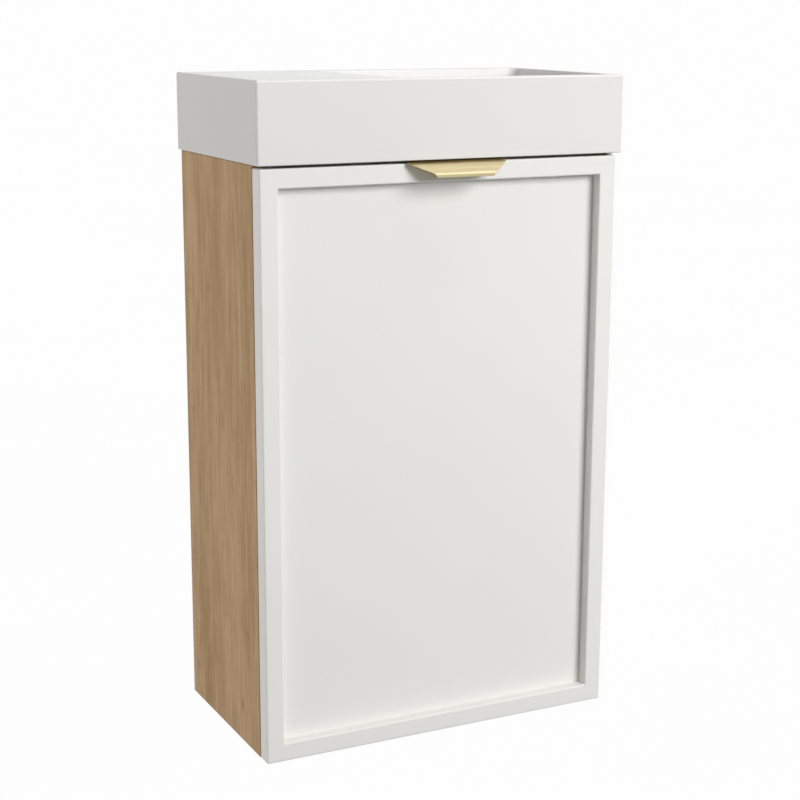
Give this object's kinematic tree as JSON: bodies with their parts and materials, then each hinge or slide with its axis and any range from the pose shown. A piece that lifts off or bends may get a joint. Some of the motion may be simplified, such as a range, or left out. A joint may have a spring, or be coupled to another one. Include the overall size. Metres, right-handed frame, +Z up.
{
  "type": "vanity unit",
  "caption": "Wall-hung cloakroom vanity unit: a slim ceramic basin with a side tap deck on an oak cupboard with one hinged white framed door and a folded brass pull.",
  "frame": {"origin": "midway between the two wall screw holes of the hanging rail, on the wall plane", "axes": "+Z up, +Y into the wall, +X to the right as seen from the front"},
  "size_m": [0.4, 0.2375, 0.6745],
  "materials": {
    "ceramic": "gloss white glaze",
    "sealant": "white sanitary sealant",
    "oak": "matt light oak, upright grain",
    "melamine": "matt white melamine-faced board",
    "steel": "zinc-plated steel",
    "zinc": "cast zinc",
    "beech": "bare beech",
    "paint": "white satin paint",
    "brass": "satin brushed brass",
    "nylon": "white nylon",
    "magnet": "dark ferrite",
    "bumper": "clear soft plastic"
  },
  "bodies": {
    "root": {"basin": "ceramic", "sealant_bead": "sealant", "left_side_panel": "oak", "right_side_panel": "oak", "bottom_panel": "melamine", "front_rail": "melamine", "hanging_rail": "melamine", "back_panel": "melamine", "shelf": "melamine", "shelf_pins": "steel", "assembly_dowels": "beech", "cam_bolts": "steel", "cam_locks": "zinc", "upper_pivot_plate": "steel", "lower_pivot_plate": "steel", "upper_pivot_pin": "steel", "lower_pivot_pin": "steel", "pivot_washers": "nylon", "upper_plate_screws": "steel", "lower_plate_screws": "steel", "catch_body": "nylon", "catch_magnet": "magnet", "catch_poles": "steel", "catch_screws": "steel", "door_bumpers": "bumper"},
    "door": {"door_left_stile": "paint", "door_right_stile": "paint", "door_top_rail": "paint", "door_bottom_rail": "paint", "door_panel": "paint", "door_dowels": "beech", "handle": "brass", "handle_screws": "brass", "upper_door_bush": "nylon", "lower_door_bush": "nylon", "strike_plate": "steel", "strike_screws": "steel"}
  },
  "joints": [
    {"name": "door_hinge", "type": "hinge", "parent": "root", "child": "door", "pos_m": [0.1918, -0.208, 0], "axis": [0, 0, 1], "range_deg": [0, 100]}
  ]
}
